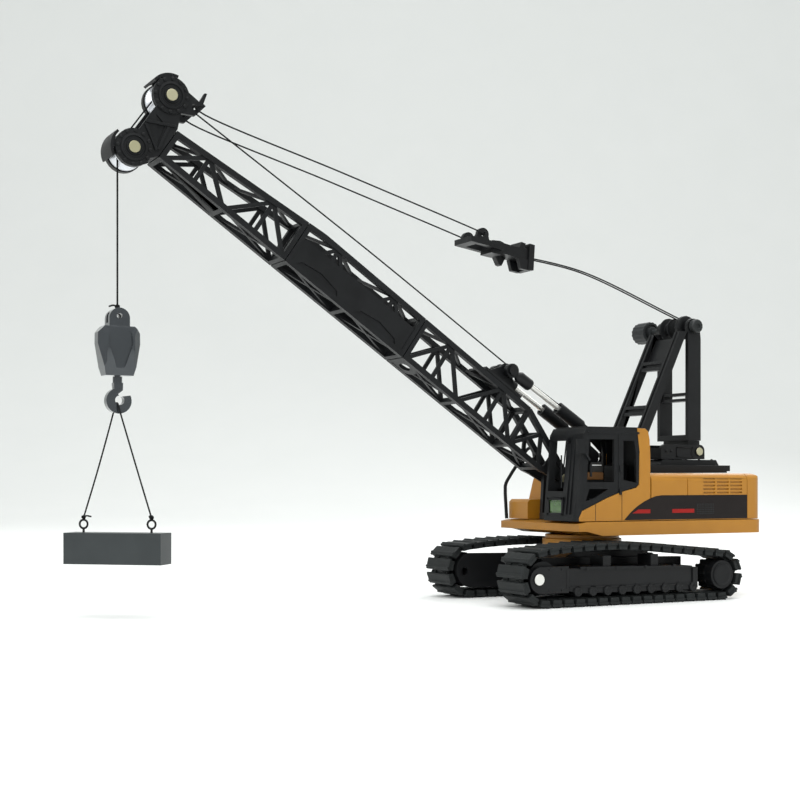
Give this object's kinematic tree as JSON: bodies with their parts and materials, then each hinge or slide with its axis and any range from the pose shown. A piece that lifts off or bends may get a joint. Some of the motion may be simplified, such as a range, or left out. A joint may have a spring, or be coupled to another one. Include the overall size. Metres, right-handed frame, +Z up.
{
  "type": "toy crawler crane",
  "caption": "Toy crawler crane with a slewing house, lattice boom on a gantry, rope winches, head pulleys and a hook block carrying a slung block on its rope.",
  "frame": {"origin": "bottom centre of the whole model's box, on the surface the tracks stand on", "axes": "+X the way the boom points, +Y the cab side, +Z up"},
  "size_m": [0.3264, 0.085, 0.2202],
  "materials": {
    "yellow_paint": "satin enamel over cast metal",
    "black_plastic": "moulded, satin black",
    "black_metal": "satin black enamel over cast metal",
    "track_rubber": "matt black rubber",
    "bright_steel": "polished rod and pin heads",
    "brass_pin": "pale brass pin heads",
    "pulley_white": "silvery white moulded sheaves",
    "slate_paint": "slate grey block",
    "string": "fine black twisted cord",
    "seat_brown": "brown moulded seat",
    "green_pane": "green tinted pane",
    "knob_grey": "dark grey knurled plastic",
    "block_steel": "dark glossy enamel"
  },
  "bodies": {
    "chassis": {"car_body": "black_metal", "slew_ring": "yellow_paint", "track_frame_left": "black_metal", "track_frame_right": "black_metal", "track_belt_left": "track_rubber", "track_belt_right": "track_rubber", "nose_bolt_left": "bright_steel", "nose_bolt_right": "bright_steel"},
    "idler_left": {"idler_left": "black_plastic"},
    "idler_right": {"idler_right": "black_plastic"},
    "sprocket_left": {"sprocket_left": "black_plastic"},
    "sprocket_right": {"sprocket_right": "black_plastic"},
    "house": {"deck": "yellow_paint", "engine_cover": "yellow_paint", "counterweight": "yellow_paint", "top_deck": "black_metal", "tool_box": "yellow_paint", "boom_foot_bracket": "black_metal", "handrail": "black_plastic", "cab_frame": "black_plastic", "cab_skirt": "yellow_paint", "cab_seat": "seat_brown", "cab_lower_pane": "green_pane", "mirror": "black_plastic", "gantry_base": "black_metal", "gantry_post": "black_metal", "gantry_leg": "black_metal", "gantry_foot_pin": "brass_pin", "winch_bracket": "black_metal", "backstop_bracket": "black_metal", "hoist_rope_low": "string"},
    "boom": {"boom_lower": "black_plastic", "boom_middle": "black_plastic", "boom_upper": "black_plastic", "boom_pivot_pin": "brass_pin", "roller_bracket": "black_metal", "head_frame": "black_plastic", "head_pin_high": "brass_pin", "head_pin_low": "brass_pin", "hoist_rope_high": "string"},
    "luffing_winch": {"luffing_drum": "black_plastic", "luffing_knob": "knob_grey"},
    "luffing_line": {"luffing_rope": "string"},
    "bridle": {"bridle": "black_metal", "pendant_left": "string", "pendant_right": "string"},
    "barrel_left": {"backstop_barrel_left": "black_plastic"},
    "barrel_right": {"backstop_barrel_right": "black_plastic"},
    "rod_left": {"backstop_rod_left": "bright_steel"},
    "rod_right": {"backstop_rod_right": "bright_steel"},
    "hoist_winch": {"winch_drum": "black_plastic", "winch_knob": "knob_grey"},
    "rope_roller": {"rope_roller": "black_plastic"},
    "pulley_high": {"head_pulley_high": "pulley_white"},
    "pulley_low": {"head_pulley_low": "pulley_white"},
    "drop_line": {"drop_rope": "string"},
    "hook_block": {"hook_block": "block_steel"},
    "hook": {"hook": "block_steel"},
    "load": {"load_block": "slate_paint", "sling": "string"}
  },
  "joints": [
    {"name": "slew", "type": "hinge", "parent": "chassis", "child": "house", "pos_m": [-0.07963, 0, 0.0303], "axis": [0, 0, 1], "continuous": true},
    {"name": "idler_left_spin", "type": "hinge", "parent": "chassis", "child": "idler_left", "pos_m": [-0.03163, 0.0318, 0.0131], "axis": [0, 1, 0], "continuous": true},
    {"name": "sprocket_left_spin", "type": "hinge", "parent": "chassis", "child": "sprocket_left", "pos_m": [-0.12903, 0.035, 0.0118], "axis": [0, 1, 0], "continuous": true},
    {"name": "idler_right_spin", "type": "hinge", "parent": "chassis", "child": "idler_right", "pos_m": [-0.03163, -0.0318, 0.0131], "axis": [0, 1, 0], "continuous": true},
    {"name": "sprocket_right_spin", "type": "hinge", "parent": "chassis", "child": "sprocket_right", "pos_m": [-0.12903, -0.035, 0.0118], "axis": [0, 1, 0], "continuous": true},
    {"name": "boom_luff", "type": "hinge", "parent": "house", "child": "boom", "pos_m": [-0.06783, -0.0048, 0.0562], "axis": [0, -1, 0], "range_deg": [-2, 16], "deforming": ["hoist_rope_low"]},
    {"name": "luffing_winch_spin", "type": "hinge", "parent": "house", "child": "luffing_winch", "pos_m": [-0.14103, -0.0048, 0.1306], "axis": [0, -1, 0], "range_deg": [-43.3, 346]},
    {"name": "line_swing", "type": "hinge", "parent": "house", "child": "luffing_line", "pos_m": [-0.14103, -0.0048, 0.1306], "axis": [0, -1, 0], "range_deg": [-1.78, 13.89]},
    {"name": "bridle_travel", "type": "slide", "parent": "luffing_line", "child": "bridle", "axis": [0.9573, 0, 0.2891], "range_m": [-0.0278, 0.0044], "deforming": ["luffing_rope"]},
    {"name": "barrel_left_swing", "type": "hinge", "parent": "house", "child": "barrel_left", "pos_m": [-0.08263, 0.002, 0.0775], "axis": [0, -1, 0], "range_deg": [-2.22, 17.35]},
    {"name": "barrel_right_swing", "type": "hinge", "parent": "house", "child": "barrel_right", "pos_m": [-0.08263, -0.0116, 0.0775], "axis": [0, -1, 0], "range_deg": [-2.22, 17.35]},
    {"name": "rod_left_swing", "type": "hinge", "parent": "boom", "child": "rod_left", "pos_m": [-0.0389, 0.002, 0.10557], "axis": [0, -1, 0], "range_deg": [-0.18, 1.03]},
    {"name": "rod_right_swing", "type": "hinge", "parent": "boom", "child": "rod_right", "pos_m": [-0.0389, -0.0116, 0.10557], "axis": [0, -1, 0], "range_deg": [-0.18, 1.03]},
    {"name": "drop_line_swing", "type": "hinge", "parent": "boom", "child": "drop_line", "pos_m": [0.13939, -0.0048, 0.1883], "axis": [0, -1, 0], "range_deg": [-16.5, 2.5]},
    {"name": "hoist", "type": "slide", "parent": "drop_line", "child": "hook_block", "axis": [0, 0, 1], "range_m": [-0.01, 0.045], "deforming": ["drop_rope"]},
    {"name": "winch_spin", "type": "hinge", "parent": "house", "child": "hoist_winch", "pos_m": [-0.10113, -0.0048, 0.0676], "axis": [0, -1, 0], "range_deg": [-163.4, 728.3]},
    {"name": "rope_roller_spin", "type": "hinge", "parent": "boom", "child": "rope_roller", "pos_m": [-0.0389, -0.0048, 0.10557], "axis": [0, -1, 0], "range_deg": [-150.8, 671.7]},
    {"name": "pulley_high_spin", "type": "hinge", "parent": "boom", "child": "pulley_high", "pos_m": [0.12387, -0.0048, 0.21088], "axis": [0, -1, 0], "range_deg": [-159, 708.4]},
    {"name": "pulley_low_spin", "type": "hinge", "parent": "boom", "child": "pulley_low", "pos_m": [0.13939, -0.0048, 0.1883], "axis": [0, -1, 0], "range_deg": [-130.8, 581.4]},
    {"name": "hook_swivel", "type": "hinge", "parent": "hook_block", "child": "hook", "pos_m": [0.14384, -0.0048, 0.098], "axis": [0, 0, 1], "continuous": true},
    {"name": "load_swing", "type": "hinge", "parent": "hook", "child": "load", "pos_m": [0.14424, -0.0048, 0.0865], "axis": [0, 1, 0], "range_deg": [-12, 12]}
  ],
  "couplings": [
    {"joint": "sprocket_left_spin", "follows": "idler_left_spin", "ratio": 1.11},
    {"joint": "sprocket_right_spin", "follows": "idler_right_spin", "ratio": 1.11},
    {"joint": "luffing_winch_spin", "follows": "boom_luff", "ratio": 21.2},
    {"joint": "line_swing", "follows": "boom_luff", "ratio": 0.8475},
    {"joint": "bridle_travel", "follows": "boom_luff", "m_per_rad": -0.096},
    {"joint": "barrel_left_swing", "follows": "boom_luff", "ratio": 1.06},
    {"joint": "barrel_right_swing", "follows": "boom_luff", "ratio": 1.06},
    {"joint": "rod_left_swing", "follows": "boom_luff", "ratio": 0.06},
    {"joint": "rod_right_swing", "follows": "boom_luff", "ratio": 0.06},
    {"joint": "drop_line_swing", "follows": "boom_luff", "ratio": -1},
    {"joint": "rope_roller_spin", "follows": "hoist", "rad_per_m": 259.74},
    {"joint": "winch_spin", "follows": "hoist", "rad_per_m": 281.69},
    {"joint": "pulley_high_spin", "follows": "hoist", "rad_per_m": 273.97},
    {"joint": "pulley_low_spin", "follows": "hoist", "rad_per_m": 224.72}
  ]
}
